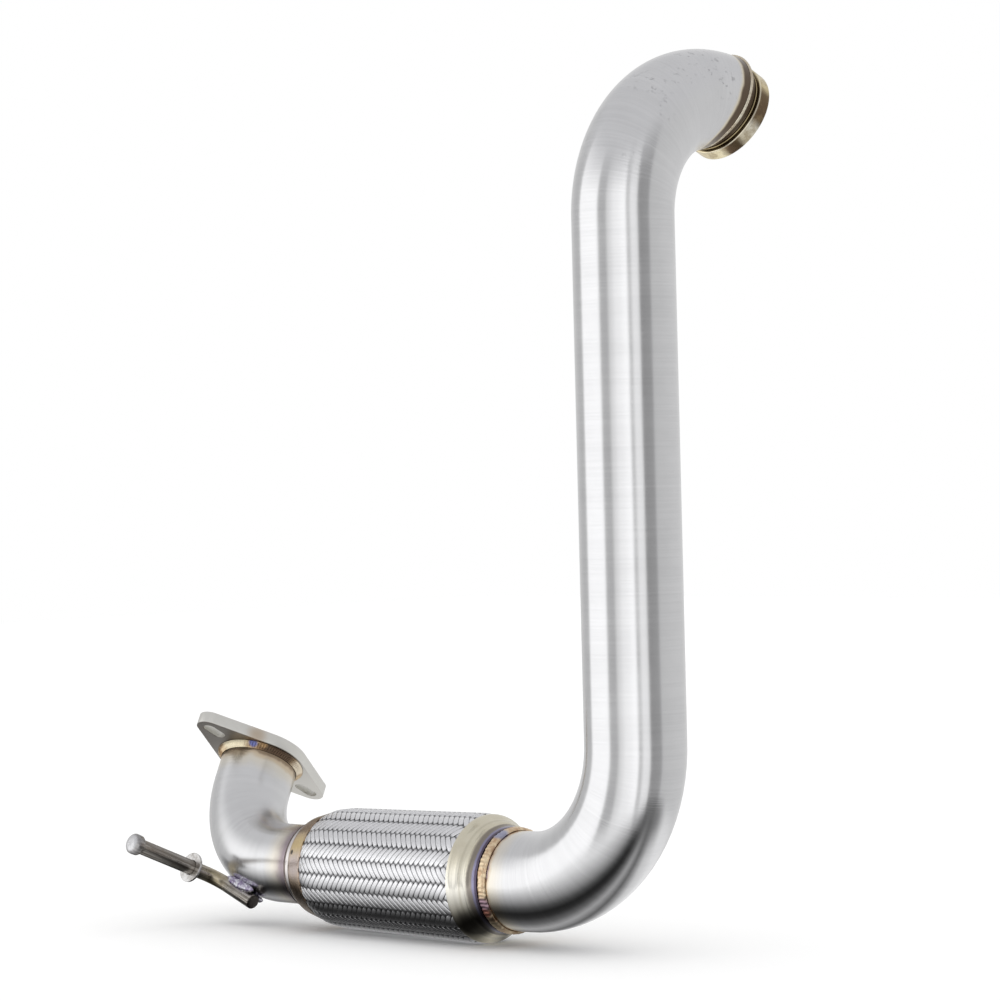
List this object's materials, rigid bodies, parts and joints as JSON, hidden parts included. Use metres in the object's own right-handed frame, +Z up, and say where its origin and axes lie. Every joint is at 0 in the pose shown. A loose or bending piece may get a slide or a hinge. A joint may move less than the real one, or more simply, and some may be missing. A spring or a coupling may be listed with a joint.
{
  "type": "turbo downpipe",
  "caption": "Stainless turbo downpipe: V-band flange, bent riser, braided flex section, elbow with slotted flange and a rod hanger.",
  "frame": {"origin": "centre of the V-band flange's face, where the turbine holds the part", "axes": "+Z up along the riser, +X along the flex section towards the lower bend, +Y towards the side that the upper bend turns to"},
  "size_m": [0.5383, 0.252, 0.6744],
  "materials": {
    "tube": "brushed stainless tube",
    "braid": "bright woven stainless wire",
    "cap": "pressed stainless with straw heat tint",
    "liner": "plain stainless sheet",
    "flange": "machined stainless plate",
    "weld": "rippled weld bead with heat tint",
    "rod": "dull drawn rod with dark streaks"
  },
  "bodies": {
    "root": {"v_band_flange": "flange", "v_band_weld": "weld", "riser_tube": "tube", "flex_inlet_weld": "weld", "flex_inlet_cap": "cap", "flex_braid": "braid", "flex_bellows": "liner", "flex_inlet_liner": "liner", "flex_outlet_liner": "liner", "flex_outlet_cap": "cap", "flex_outlet_weld": "weld", "elbow_tube": "tube", "flange_weld": "weld", "flange_inner_weld": "weld", "outlet_flange": "flange", "hanger_rod": "rod", "hanger_washer": "tube", "hanger_weld_near": "weld", "hanger_weld_far": "weld"}
  },
  "joints": []
}
